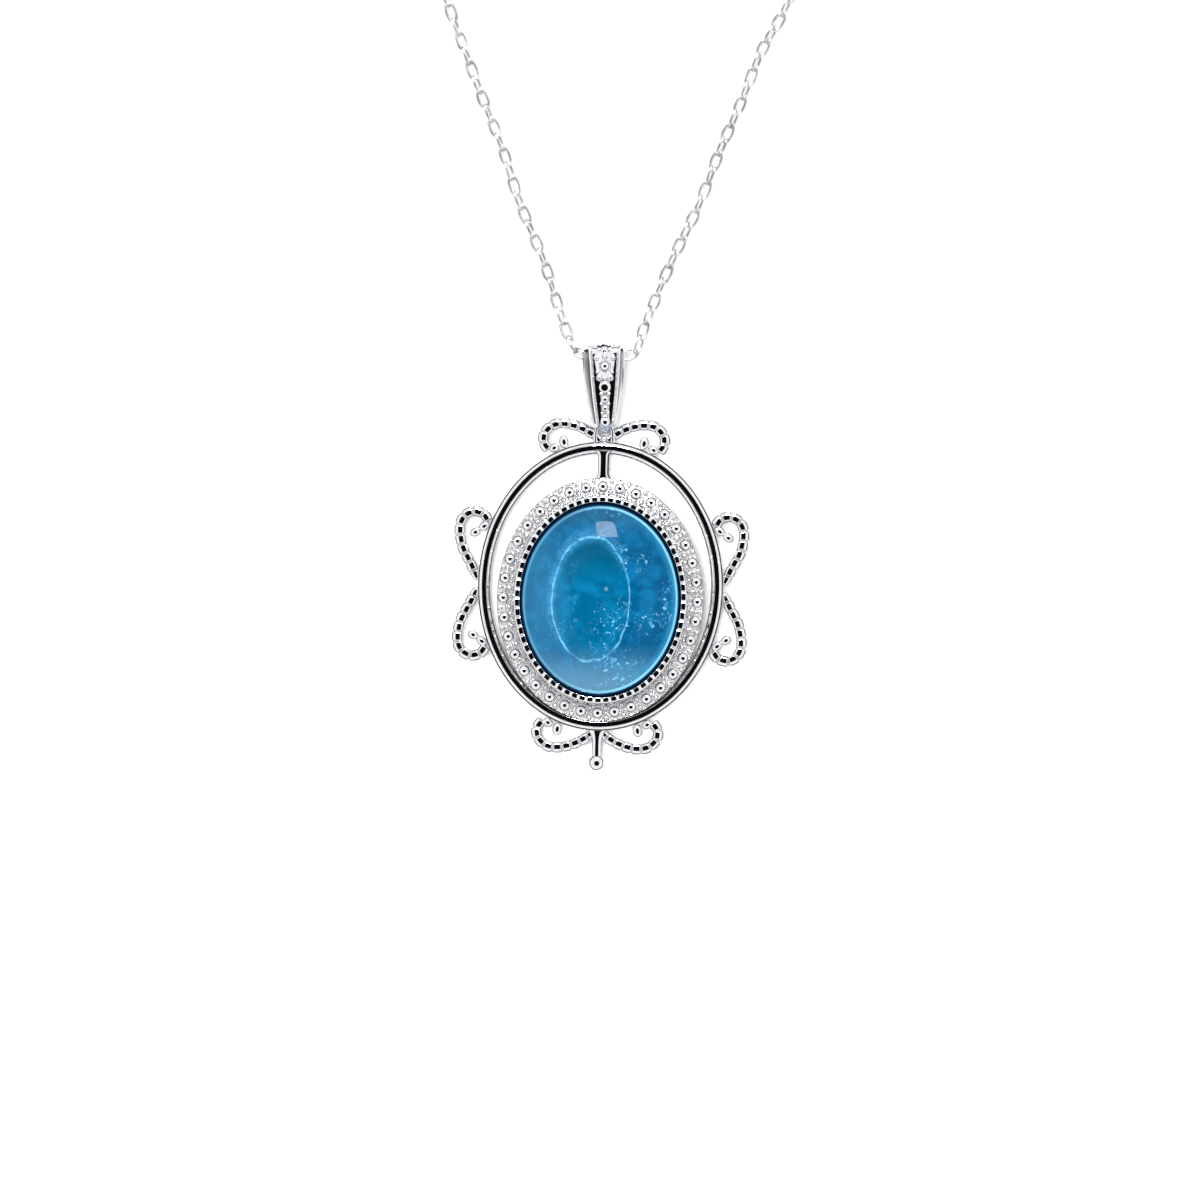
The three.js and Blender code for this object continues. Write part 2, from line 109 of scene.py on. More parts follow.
class Nodes:
    """Short ways to build a node tree."""

    def __init__(self, tree):
        self.tree = tree
        tree.nodes.clear()

    def add(self, kind, inputs=None, **settings):
        node = self.tree.nodes.new(kind)
        for key, value in settings.items():
            setattr(node, key, value)
        for key, value in (inputs or {}).items():
            self.put(node.inputs[key], value)
        return node

    def put(self, socket, value):
        if isinstance(value, bpy.types.NodeSocket):
            self.tree.links.new(value, socket)
        else:
            socket.default_value = value

    def math(self, operation, a, b=0.0, c=0.0):
        return self.add("ShaderNodeMath", {0: a, 1: b, 2: c}, operation=operation).outputs[0]

    def ramp(self, value, low, high, to_low=0.0, to_high=1.0):
        """A smooth step from one value to another; it falls where low is above high."""
        inputs = {"Value": value, "From Min": low, "From Max": high, "To Min": to_low, "To Max": to_high}
        node = self.add("ShaderNodeMapRange", inputs, interpolation_type="SMOOTHSTEP")
        return node.outputs[0]

    def mix(self, share, a, b):
        node = self.add("ShaderNodeMix", data_type="RGBA")
        self.put(node.inputs[0], share)
        self.put(node.inputs[6], a)
        self.put(node.inputs[7], b)
        return node.outputs[2]

    def noise(self, place, scale, detail=3.0, roughness=0.5, distortion=0.0):
        inputs = {"Vector": place, "Scale": scale, "Detail": detail}
        inputs.update({"Roughness": roughness, "Distortion": distortion})
        return self.add("ShaderNodeTexNoise", inputs).outputs["Fac"]


def new_material(name):
    material = bpy.data.materials.new(name)
    material.use_nodes = True
    nodes = Nodes(material.node_tree)
    place = nodes.add("ShaderNodeTexCoord").outputs["Object"]
    shader = nodes.add("ShaderNodeBsdfPrincipled")
    nodes.add("ShaderNodeOutputMaterial", {0: shader.outputs[0]})
    return material, nodes, place, shader


def metal(name, colour, smooth, rough, scratch, grain_scale=5200.0, depth=0.00001):
    """Polished plated metal: faint cloudy changes in gloss, and a fine uneven surface."""
    material, nodes, place, shader = new_material(name)
    shader.inputs["Metallic"].default_value = 1.0
    cloud = nodes.noise(place, 900.0, 4.0, 0.6)
    tint = nodes.mix(nodes.ramp(cloud, 0.3, 0.7), srgb(colour), srgb("e9eaec"))
    nodes.put(shader.inputs["Base Color"], tint)
    nodes.put(shader.inputs["Roughness"], nodes.ramp(cloud, 0.25, 0.8, smooth, rough))
    grain = nodes.noise(place, grain_scale, 2.0, 0.5)
    bump = nodes.add("ShaderNodeBump", {"Strength": scratch, "Distance": depth, "Height": grain})
    nodes.put(shader.inputs["Normal"], bump.outputs[0])
    return material


# -------- materials

# ovals in the stone, in millimetres: middles as in row(), and half sizes: the seat's window, painted as seen
# through the stone, and a painted highlight speck
WINDOW_MIDDLE = (-0.93, -1.29)
WINDOW_SIZE = (3.85, 6.2)
HIGHLIGHT_SPECK_MIDDLE = (0.57, -0.29)
HIGHLIGHT_SPECK_SIZE = (0.24, 0.28)
STONE_IOR = 1.54


def stone_material():
    """Translucent blue stone with pale clouds and flecks of its own, and painted light and shade: a darker
    middle painted as shade inside the seat's window, the seat's window line painted as seen through the
    stone, painted sheen and glow toward its edges, a painted highlight speck and a painted shaded edge.
    """
    material, nodes, place, shader = new_material("blue_stone")
    split = nodes.add("ShaderNodeSeparateXYZ", {0: place})
    wobble = nodes.ramp(nodes.noise(place, 420.0, 4.0, 0.6), 0.2, 0.8, -0.03, 0.03)

    def oval_distance(centre_x, centre_y, semi_x, semi_y):
        """How far out a place is, where the oval's edge is 1, and how far across and along it."""
        centre = row(centre_x, centre_y, 0)
        across = nodes.math("MULTIPLY_ADD", split.outputs[0], 1 / (semi_x * MM), -centre[0] / (semi_x * MM))
        along = nodes.math("MULTIPLY_ADD", split.outputs[1], 1 / (semi_y * MM), -centre[1] / (semi_y * MM))
        square = nodes.math("MULTIPLY_ADD", across, across, nodes.math("MULTIPLY", along, along))
        return nodes.math("SQRT", square), across, along

    def times(first, *others):
        for other in others:
            first = nodes.math("MULTIPLY", first, other)
        return first

    def away_from(value, level):
        return nodes.math("ABSOLUTE", nodes.math("SUBTRACT", value, level))

    rim, across, along = oval_distance(0, MEDALLION_Y, STONE_X, STONE_Y)
    window, window_across, window_along = oval_distance(*WINDOW_MIDDLE, *WINDOW_SIZE)
    uneven_window = nodes.math("ADD", window, wobble)

    clouds = nodes.ramp(nodes.noise(place, 380.0, 6.0, 0.65, 0.8), 0.38, 0.64)
    outer = nodes.mix(clouds, srgb("014e79"), srgb("0a6797"))
    inner = nodes.mix(clouds, srgb("01567c"), srgb("076a97"))
    # inside the seat's window the blue shifts a little: the stone painted as seen over the window
    colour = nodes.mix(nodes.ramp(uneven_window, 0.92, 1.08), inner, outer)

    # painted shade: darker inside the seat's window, toward its top
    painted_window_shade = times(nodes.ramp(uneven_window, 1.0, 0.8), nodes.ramp(window_along, 0.1, 0.8), 0.8)
    # painted sheen: paler toward the left edge of the stone
    painted_left_sheen = times(nodes.ramp(across, -0.3, -0.85), 0.45)
    # painted light: paler toward the bottom of the stone
    painted_low_glow = times(nodes.ramp(along, -0.42, -0.98), 0.88)
    # painted sheen: greyer toward the top of the stone, round its highlight
    painted_top_sheen = times(nodes.ramp(along, 0.6, 1.0), 0.5)

    patchy = nodes.ramp(nodes.noise(place, 1100.0, 4.0, 0.7), 0.36, 0.6, 0.2, 1.0)
    lower_right = nodes.math("SUBTRACT", window_across, window_along)
    line_side = nodes.ramp(lower_right, -1.2, 1.2, 1.0, 0.72)
    # painted light: the pale line of the seat's window seen through the stone, patchy and fainter to the
    # lower right
    painted_window_line = times(nodes.ramp(away_from(uneven_window, 1.0), 0.03, 0.008), patchy, line_side)
    painted_glow_side = nodes.ramp(lower_right, 0.5, -1.0)
    # painted glow round the window line, on its upper left side
    painted_window_glow = times(nodes.ramp(away_from(uneven_window, 1.03), 0.17, 0.0), painted_glow_side, patchy, 0.38)

    flecked = times(nodes.ramp(nodes.noise(place, 230.0, 2.0), 0.44, 0.62), nodes.ramp(across, -0.9, 0.3))
    flecks = times(nodes.ramp(nodes.noise(place, 1300.0, 4.0, 0.8, 1.4), 0.56, 0.66, 0.0, 0.85), flecked)
    dots = times(nodes.ramp(nodes.noise(place, 2600.0, 3.0, 0.6), 0.6, 0.68, 0.0, 0.9), flecked)
    # painted highlight: a small ragged pale speck right of the middle
    highlight_speck_distance = oval_distance(*HIGHLIGHT_SPECK_MIDDLE, *HIGHLIGHT_SPECK_SIZE)[0]
    ragged = nodes.math("ADD", highlight_speck_distance, times(wobble, 9.0))
    painted_highlight_speck = nodes.ramp(ragged, 1.0, 0.3, 0.0, 0.42)

    # painted light: a pale glow inside the rim toward the right and a bright rim line, fainter on the left;
    # painted shade: a dark band at the very edge
    painted_rim_glow = times(nodes.ramp(rim, 0.84, 0.955, 0.0, 0.6), nodes.ramp(across, 0.1, 0.85))
    lit_side = nodes.ramp(across, -0.6, 0.6, 0.25, 1.0)
    painted_rim_highlight = times(nodes.ramp(away_from(rim, 0.952), 0.02, 0.004), lit_side)
    painted_edge_shade = nodes.ramp(rim, 0.962, 0.978)

    # lays the painted light and shade, and the stone's own clouds and flecks, over its blue
    for share, tint in (
        (painted_window_shade, "004865"), (painted_left_sheen, "377396"), (painted_low_glow, "5b8aa6"), (painted_top_sheen, "36566c"),
        (painted_window_line, "6db9e2"), (painted_window_glow, "5ea9d6"), (flecks, "58abd6"), (dots, "8fd0f0"),
        (painted_highlight_speck, "86a9c2"), (painted_rim_glow, "3b99ca"), (painted_rim_highlight, "8ad6f5"), (painted_edge_shade, "08284a"),
    ):
        colour = nodes.mix(share, colour, srgb(tint))

    nodes.put(shader.inputs["Base Color"], colour)
    nodes.put(shader.inputs["Roughness"], nodes.ramp(clouds, 0.0, 1.0, 0.03, 0.06))
    shader.inputs["IOR"].default_value = STONE_IOR
    shader.inputs["Specular IOR Level"].default_value = 0.05
    shader.inputs["Subsurface Weight"].default_value = 0.15
    shader.inputs["Subsurface Radius"].default_value = (0.0002, 0.0004, 0.0006)
    return material


def floor_material():
    """A matt white surface, hardly uneven in tone."""
    material, nodes, place, shader = new_material("white_surface")
    tone = nodes.ramp(nodes.noise(place, 12.0, 2.0), 0.3, 0.7)
    nodes.put(shader.inputs["Base Color"], nodes.mix(tone, srgb("fbfbfa"), srgb("fdfdfd")))
    shader.inputs["Roughness"].default_value = 0.9
    shader.inputs["Specular IOR Level"].default_value = 0.0
    return material


silver = metal("rhodium_silver", "dfe0e3", 0.03, 0.075, 0.05)
chain_silver = metal("chain_silver", "c2c2c1", 0.13, 0.22, 0.1)
spring_wire = metal("spring_wire", "b5b7ba", 0.2, 0.32, 0.25)
granulated_silver = metal("granulated_silver", "cdccca", 0.06, 0.14, 1.0, 4200.0, 0.0001)
textured_silver = metal("textured_silver", "8e9c98", 0.2, 0.36, 1.0, 4600.0, 0.00008)
# the blue-grey tint of the bail's eye and block is painted shade of the gap round the hinge
shaded_knuckle_silver = metal("shaded_knuckle_silver", "9fb0d8", 0.12, 0.25, 1.0, 3600.0, 0.0001)
blue_stone = stone_material()


# -------- mesh helpers


UP = Vector((0, 0, 1))
SHARP_ANGLE = math.radians(50)
EDGE_RADIUS = 0.03
# how far the sections of scrolls and bars reach down below their line
SKIRT = -0.45

# distance out and distance down from the top of a bead, for a radius of 1
STUD_PROFILE = (
    (0.25, 0.0), (0.38, 0.03), (0.55, 0.115), (0.75, 0.22), (0.87, 0.32), (1.0, 0.43), (1.0, 0.9),
)


class Solid:
    """Collects closed shells, in millimetres from the middle of the ring."""

    def __init__(self, place=None):
        self.vertices = []
        self.faces = []
        self.place = place

    def shell(self, vertices, faces):
        start = len(self.vertices)
        if self.place:
            vertices = [self.place @ Vector(v) for v in vertices]
        self.vertices.extend(tuple(v) for v in vertices)
        self.faces.extend(tuple(i + start for i in face) for face in faces)

    def rings(self, rows, closed=False):
        """Skins rows of equally many points, and caps the ends unless the rows run in a circle."""
        vertices = [point for one in rows for point in one]
        width = len(rows[0])
        count = len(rows)
        faces = []
        for i in range(count if closed else count - 1):
            after = (i + 1) % count
            for j in range(width):
                side = (j + 1) % width
                faces.append((i * width + j, i * width + side, after * width + side, after * width + j))
        if not closed:
            faces.append(tuple(reversed(range(width))))
            faces.append(tuple(range((count - 1) * width, count * width)))
        self.shell(vertices, faces)

    def ball(self, centre, radii, turns=28, levels=16, turn=0.0):
        """A ball or an egg, with its longer way turned in the plane."""
        vertices = [(0, 0, radii[2])]
        for i in range(1, levels):
            tilt = math.pi * i / levels
            out_x, out_y = radii[0] * math.sin(tilt), radii[1] * math.sin(tilt)
            for j in range(turns):
                angle = 2 * math.pi * j / turns
                vertices.append((out_x * math.cos(angle), out_y * math.sin(angle), radii[2] * math.cos(tilt)))
        vertices.append((0, 0, -radii[2]))
        last = len(vertices) - 1
        faces = []
        for j in range(turns):
            side = (j + 1) % turns
            faces.append((0, 1 + j, 1 + side))
            for i in range(levels - 2):
                start = 1 + i * turns
                faces.append((start + j, start + turns + j, start + turns + side, start + side))
            faces.append((last, last - turns + side, last - turns + j))
        spin = Matrix.Translation(centre) @ Matrix.Rotation(turn, 4, "Z")
        self.shell([spin @ Vector(v) for v in vertices], faces)

    def stud(self, centre, radius, turns=28):
        """A low round bead with a small flat top, sides that fall ever more steeply, and a skirt."""
        angles = [2 * math.pi * j / turns for j in range(turns)]
        rows = []
        for out, down in STUD_PROFILE:
            circle = [Vector((out * math.cos(a), out * math.sin(a), -down)) for a in angles]
            rows.append([centre + radius * point for point in circle])
        self.rings(rows)

    def piece(self, name, nodes, body="pendant", material=silver):
        """Makes the Blender object, rides it on its body and lets it stand for its CAD nodes."""
        mesh = bpy.data.meshes.new(name)
        mesh.from_pydata([row(*v) for v in self.vertices], [], self.faces)
        shells = bmesh.new()
        shells.from_mesh(mesh)
        bmesh.ops.recalc_face_normals(shells, faces=shells.faces)
        shells.to_mesh(mesh)
        shells.free()
        mesh.polygons.foreach_set("use_smooth", [True] * len(mesh.polygons))
        mesh.set_sharp_from_angle(angle=SHARP_ANGLE)
        mesh.materials.append(material)
        made = bpy.data.objects.new(name, mesh)
        bpy.context.scene.collection.objects.link(made)
        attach(made, body)
        if nodes:
            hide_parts(*nodes)
        return made


def fillet(corners, radius=EDGE_RADIUS, steps=3):
    """Rounds the corners of a closed outline."""
    rounded = []
    for i, corner in enumerate(corners):
        here = Vector(corner)
        before = Vector(corners[i - 1]) - here
        after = Vector(corners[(i + 1) % len(corners)]) - here
        start = here + before.normalized() * min(radius, 0.45 * before.length)
        end = here + after.normalized() * min(radius, 0.45 * after.length)
        for k in range(steps + 1):
            share = k / steps
            first = start.lerp(here, share)
            rounded.append(tuple(first.lerp(here.lerp(end, share), share)))
    return rounded


def oval_band(semi_x, semi_y, profile_at, segments, centre_y=0.0):
    """Rows of a band round an oval. A profile is closed pairs of inward offset and height."""
    rows = []
    for i in range(segments):
        angle = 2 * math.pi * i / segments
        x, y = math.cos(angle), math.sin(angle)
        profile = profile_at(angle)
        rows.append([((semi_x - inset) * x, centre_y + (semi_y - inset) * y, z) for inset, z in profile])
    return rows


def catmull(points, steps=12):
    """A smooth line through the points: a centripetal Catmull-Rom spline."""
    ends = [2 * points[0] - points[1], *points, 2 * points[-1] - points[-2]]
    line = []
    for i in range(1, len(ends) - 2):
        four = ends[i - 1 : i + 3]
        knots = [0.0]
        for a, b in zip(four, four[1:]):
            knots.append(knots[-1] + max((b - a).length, 1e-6) ** 0.5)
        for k in range(steps):
            at = knots[1] + (knots[2] - knots[1]) * k / steps
            level = list(four)
            for reach in (1, 2, 3):
                fresh = []
                for j in range(4 - reach):
                    low = knots[j] if reach < 3 else knots[1]
                    high = knots[j + reach] if reach < 3 else knots[2]
                    fresh.append(level[j].lerp(level[j + 1], (at - low) / (high - low)))
                level = fresh
            line.append(level[0])
    line.append(points[-1])
    return line


def line_length(line):
    return sum((b - a).length for a, b in zip(line, line[1:]))


def resample(line, count):
    """The same line with count equal steps."""
    total = line_length(line)
    placed = [line[0].copy()]
    travelled = 0.0
    target = total / count
    for a, b in zip(line, line[1:]):
        span = (b - a).length
        while span > 0 and travelled + span >= target - 1e-9 and len(placed) < count:
            placed.append(a.lerp(b, (target - travelled) / span))
            target = total * len(placed) / count
        travelled += span
    placed.append(line[-1].copy())
    return placed


def directions(line, closed=False):
    """The way the line runs at each of its points."""
    count = len(line)
    ways = []
    for i in range(count):
        ahead = line[(i + 1) % count] if closed else line[min(i + 1, count - 1)]
        behind = line[i - 1] if closed else line[max(i - 1, 0)]
        ways.append((ahead - behind).normalized())
    return ways


def superellipse(half_width, half_height, power, sides):
    """A closed outline: an ellipse for a power of 2, squarer above it and more pointed below it."""
    points = []
    for i in range(sides):
        angle = 2 * math.pi * i / sides
        across = math.copysign(abs(math.cos(angle)) ** (2 / power), math.cos(angle))
        up = math.copysign(abs(math.sin(angle)) ** (2 / power), math.sin(angle))
        points.append((half_width * across, half_height * up))
    return points


def sweep_rows(line, section_at, up=UP, closed=False):
    """Rows of a section carried along a line; a section is pairs of across and up."""
    rows = []
    for i, (point, way) in enumerate(zip(line, directions(line, closed))):
        side = way.cross(up).normalized()
        top = side.cross(way).normalized()
        rows.append([point + side * across + top * height for across, height in section_at(i)])
    return rows


def round_section(radius, sides):
    return superellipse(radius, radius, 2, sides)


def circle_outline(radius, count, centre=(0, 0)):
    angles = [2 * math.pi * i / count for i in range(count)]
    return [(centre[0] + radius * math.cos(a), centre[1] + radius * math.sin(a)) for a in angles]


def smooth_share(share):
    """A share held between 0 and 1 and eased at both ends."""
    share = min(1.0, max(0.0, share))
    return share * share * (3 - 2 * share)


# -------- the chain
# One 450 mm cable chain, made as two halves from the middle of the bail. The strands' points are
# those of the CAD model, and the coil's turns are worked out. Lengths are in millimetres.

CHAIN_HALF = (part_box("chain_coil")[1].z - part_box("chain_coil")[0].z) / 2 / MM
BAIL_CHAIN_HEIGHT = 1.4
CLIMB_STARTS = 5.2
CLIMB_SPAN = 3.0
STRANDS_END_Y = 30
COIL_X, COIL_Y = 2.0, 75.8
CLASP_TURN = math.radians(121)

LEFT_ROUTE = [
    (0, 23.2), (-1.9, 23.2), (-2.75, 23.4), (-3.35, 24.1), (-3.9, 25.2), (-5.0, 28.2), (-6.6, 32.8),
    (-8.9, 38.0), (-10.9, 43.7), (-12.8, 48.2), (-15.0, 53.7), (-16.5, 57.6), (-17.6, 61.2),
    (-16.4, 64.0), (-13.3, 64.9), (-10.2, 63.4), (-7.2, 61.6), (-4.3, 60.6),
]
RIGHT_ROUTE = [
    (0, 23.2), (1.9, 23.2), (2.75, 23.4), (3.25, 24.2), (3.6, 25.6), (4.7, 28.6), (6.5, 33.1),
    (9.0, 38.6), (10.8, 43.6), (12.9, 48.8), (15.0, 54.3), (16.8, 57.65), (18.1, 61.0),
    (18.7, 64.6), (18.6, 68.2), (17.9, 71.7),
]

COIL_OUTER_TURN = 14.9
TURN_PITCH = 1.34
COIL_START = math.radians(-12)
COIL_STEP = math.radians(24)
TAIL_BEND = 2.6
TAIL_END = 5.05


def chain_height(x, y):
    """The chain lies on the surface and climbs to the hole of the bail."""
    if y > STRANDS_END_Y:
        return CHAIN_HALF
    share = smooth_share((CLIMB_STARTS - abs(x)) / CLIMB_SPAN)
    return CHAIN_HALF + (BAIL_CHAIN_HEIGHT - CHAIN_HALF) * share


def chain_line(route, inset, joins_at, ends_at):
    """One half of the chain: its strand, its turns in the coil and the bend to the clasp.

    It joins the coil and leaves it at the two angles, inset by that much from the outer turn.
    """
    points = [Vector((x, y, chain_height(x, y))) for x, y in route]

    def radius(angle):
        return COIL_OUTER_TURN - inset - TURN_PITCH * (angle - COIL_START) / math.pi

    last_radius = radius(ends_at)
    leaves_at = ends_at - TAIL_BEND / last_radius
    steps = math.ceil((leaves_at - joins_at) / COIL_STEP)
    for k in range(steps + 1):
        angle = joins_at + (leaves_at - joins_at) * k / steps
        out = radius(angle)
        points.append(Vector((COIL_X + out * math.cos(angle), COIL_Y + out * math.sin(angle), CHAIN_HALF)))
    outward = Vector((math.cos(ends_at), math.sin(ends_at), 0))
    onward = Vector((-math.sin(ends_at), math.cos(ends_at), 0))
    middle = Vector((COIL_X, COIL_Y, CHAIN_HALF))
    for share in (1 / 3, 2 / 3, 1):
        bend = share * math.pi / 2
        out = last_radius - TAIL_BEND + TAIL_BEND * math.cos(bend)
        points.append(middle + outward * out + onward * TAIL_BEND * (math.sin(bend) - 1))
    points.append(middle + outward * TAIL_END)
    return catmull(points)


LEFT_JOINS = math.radians(-75)
RIGHT_JOINS = math.radians(25)
left_line = chain_line(LEFT_ROUTE, TURN_PITCH, LEFT_JOINS, CLASP_TURN + 3 * math.pi)
right_line = chain_line(RIGHT_ROUTE, 0.0, RIGHT_JOINS, CLASP_TURN + 4 * math.pi)

LINK_PITCH = 1.54
LINK_LENGTH = 2.2
LINK_WIDTH = 1.28
LINK_WIRE = 0.165
FLAT_ROLL = math.radians(12)
STANDING_ROLL = math.radians(62)
ROLL_PLAY_DEGREES = 10


def link_rows(sides=10, steps=30):
    """One oval link lying in its own plane, as rows of points round its wire."""
    oval = superellipse(LINK_LENGTH / 2 - LINK_WIRE, LINK_WIDTH / 2 - LINK_WIRE, 2.35, steps)
    line = [Vector((along, across, 0)) for along, across in oval]
    return sweep_rows(line, lambda i: round_section(LINK_WIRE, sides), closed=True)


def chain_half(name, line, nodes, seed):
    """Separate links, each turned a quarter from the one before, with a little play."""
    rng = random.Random(seed)
    count = round(line_length(line) / LINK_PITCH)
    stops = resample(line, count * 2)
    link = link_rows()
    solid = Solid()
    for k in range(count):
        middle = stops[2 * k + 1]
        way = (stops[2 * k + 2] - stops[2 * k]).normalized()
        play = math.radians(rng.uniform(-ROLL_PLAY_DEGREES, ROLL_PLAY_DEGREES))
        roll = (FLAT_ROLL if k % 2 else STANDING_ROLL) + play
        flat_side = UP.cross(way).normalized()
        over = way.cross(flat_side)
        across = flat_side * math.cos(roll) + over * math.sin(roll)
        normal = way.cross(across)
        turn = Matrix((way, across, normal)).transposed()
        solid.rings([[middle + turn @ point for point in one] for one in link], closed=True)
    return solid.piece(name, nodes, "chain", chain_silver)


left_chain = chain_half("chain_left", left_line, ["chain_strand", "chain_tail_hook_side"], seed=4)
right_chain = chain_half("chain_right", right_line, ["chain_coil", "chain_tail_ring_side"], seed=9)


# -------- the clasp

clasp_place = Matrix.Translation((COIL_X, COIL_Y, 0)) @ Matrix.Rotation(CLASP_TURN, 4, "Z")
CLASP_LOW, CLASP_HIGH = 0.4, 1.6
CHEEK_RISE = 0.04
PIVOT = (-1.45, 0.95)
SPRING_RADIUS = 0.36
SPRING_WIRE = 0.028
SPRING_LOW = 1.17
SPRING_PITCH = 0.06
SPRING_TURNS = 3
STEPS_PER_TURN = 24


def smooth_outline(points, steps=6):
    return [(p.x, p.y) for p in catmull([Vector((x, y, 0)) for x, y in points], steps)]


def plate_rows(outline, low, high, edge, steps=5):
    """Rows of a flat piece with rounded edges; the outline runs anticlockwise."""
    line = [Vector((x, y, 0)) for x, y in outline]
    inward = [Vector((-way.y, way.x, 0)) for way in directions(line, closed=True)]
    face = edge + 0.03
    rows = [[p + n * face + Vector((0, 0, low)) for p, n in zip(line, inward)]]
    for base, start in ((low, 0.0), (high - 2 * edge, math.pi / 2)):
        for k in range(steps + 1):
            angle = start + math.pi / 2 * k / steps
            inset = edge * (1 - math.sin(angle))
            height = base + edge * (1 - math.cos(angle))
            rows.append([p + n * inset + Vector((0, 0, height)) for p, n in zip(line, inward)])
    rows.append([p + n * face + Vector((0, 0, high)) for p, n in zip(line, inward)])
    return rows


def torus_rows(centre, radius, wire, normal, turns=40, sides=14):
    """Rows of a round wire bent to a ring."""
    across = normal.orthogonal().normalized()
    along = normal.cross(across)
    line = []
    for i in range(turns):
        angle = 2 * math.pi * i / turns
        line.append(centre + across * radius * math.cos(angle) + along * radius * math.sin(angle))
    return sweep_rows(line, lambda i: round_section(wire, sides), up=normal, closed=True)


def clasp_body():
    """The hook with its two cheeks round the gate, and the eye at its root."""
    solid = Solid(clasp_place)
    outer = [(-2.7, -0.4), (-1.2, -1.45), (1.0, -1.75), (2.9, -1.3), (3.7, 0), (3.0, 1.35), (1.85, 1.75)]
    inner = [(1.8, 1.2), (2.6, 0.85), (3.1, 0), (2.4, -0.75), (1.0, -1.05), (-0.2, -0.8), (-0.75, 0.3)]
    hook_shape = [*smooth_outline(outer), *smooth_outline(inner), (-1.7, 0.36), (-2.6, 0.3)]
    solid.rings(plate_rows(hook_shape, CLASP_LOW, CLASP_HIGH, 0.16))
    corners = [
        (-2.6, -0.3), (-1.4, -0.6), (-0.5, -0.2), (-0.65, 0.8),
        (-1.0, 1.45), (-1.6, 1.6), (-2.3, 1.2), (-2.7, 0.4),
    ]
    cheek = smooth_outline(corners)
    solid.rings(plate_rows(cheek, CLASP_LOW - CHEEK_RISE, 0.6, 0.06))
    solid.rings(plate_rows(cheek, 1.4, CLASP_HIGH + CHEEK_RISE, 0.06))
    solid.rings(torus_rows(Vector((-3.2, 0, 1.0)), 0.63, 0.22, UP), closed=True)
    return solid.piece("clasp_hook", ["clasp_body"], "chain")


def clasp_gate():
    """The lever that shuts the hook, with its thumb catch."""
    solid = Solid(clasp_place)
    arm = [
        (1.68, 1.15), (1.7, 1.55), (1.0, 1.65), (0.3, 1.8), (-0.1, 2.1), (-0.6, 1.75), (-1.5, 1.42),
        (-1.92, 1.0), (-1.75, 0.55), (-1.3, 0.48), (-0.6, 0.9), (0.6, 1.05), (1.6, 1.12),
    ]
    solid.rings(plate_rows(smooth_outline(arm), 0.65, 1.1, 0.1))
    solid.piece("clasp_gate_arm", ["clasp_lever"], "clasp_gate")


def clasp_small_parts():
    """The rivet that the gate turns on, and the torsion spring wound round it."""
    pin = Solid(clasp_place)
    pin.rings(plate_rows(circle_outline(0.21, 24, PIVOT), 0.32, 1.69, 0.05))
    pin.piece("clasp_rivet", ["clasp_pin"], "chain")
    spring = Solid(clasp_place)
    coil = []
    for i in range(SPRING_TURNS * STEPS_PER_TURN + 1):
        angle = 2 * math.pi * i / STEPS_PER_TURN
        x = PIVOT[0] + SPRING_RADIUS * math.cos(angle)
        y = PIVOT[1] + SPRING_RADIUS * math.sin(angle)
        coil.append(Vector((x, y, SPRING_LOW + SPRING_PITCH * i / STEPS_PER_TURN)))
    spring.rings(sweep_rows(coil, lambda i: round_section(SPRING_WIRE, 8)))
    spring.piece("clasp_torsion_spring", ["clasp_spring"], "chain", spring_wire)


def jump_ring(name, radius, wire, x, node):
    """A ring standing upright on the surface, in the clasp's own direction."""
    solid = Solid(clasp_place)
    centre = Vector((x, 0, radius + wire))
    solid.rings(torus_rows(centre, radius, wire, Vector((0, 1, 0))), closed=True)
    return solid.piece(name, [node], "chain", chain_silver)


hook = clasp_body()
clasp_gate()
clasp_small_parts()
hook_ring = jump_ring("clasp_jump_ring", 0.85, 0.15, -4.05, "clasp_ring")
far_ring = jump_ring("chain_end_ring", 1.3, 0.15, 3.4, "end_ring")


# -------- the oval ring


RING_SEGMENTS = 256


def oval_ring():
    """The pendant's frame: rounded outside, flat and polished on top, with a step inside."""
    outline = [
        (0, 0), (0, 1.4), (0.16, 1.534), (0.37, 1.64), (0.38, RING_TOP), (0.86, RING_TOP),
        (0.87, 1.14), (1.05, 1.06), (1.06, 1.02), (1.17, 1.02), (1.22, 0.98), (1.22, 0),
    ]
    profile = fillet(outline)
    solid = Solid()
    solid.rings(oval_band(RING_X, RING_Y, lambda angle: profile, RING_SEGMENTS), closed=True)
    solid.piece("oval_ring", ["outer_ring"])


oval_ring()


# -------- the scrolls

SCROLL_HALF_WIDTH = 0.53
WIRE_SHIFT = 0.05
SCROLL_HEIGHT = 0.85
PILLOW_LENGTH = 0.96
PILLOW_STATIONS = 18
TAPER = 1.1
ROOT_SIZE = 0.5
NOTCH_SHARE = 0.22
BALL_RISE = 0.3

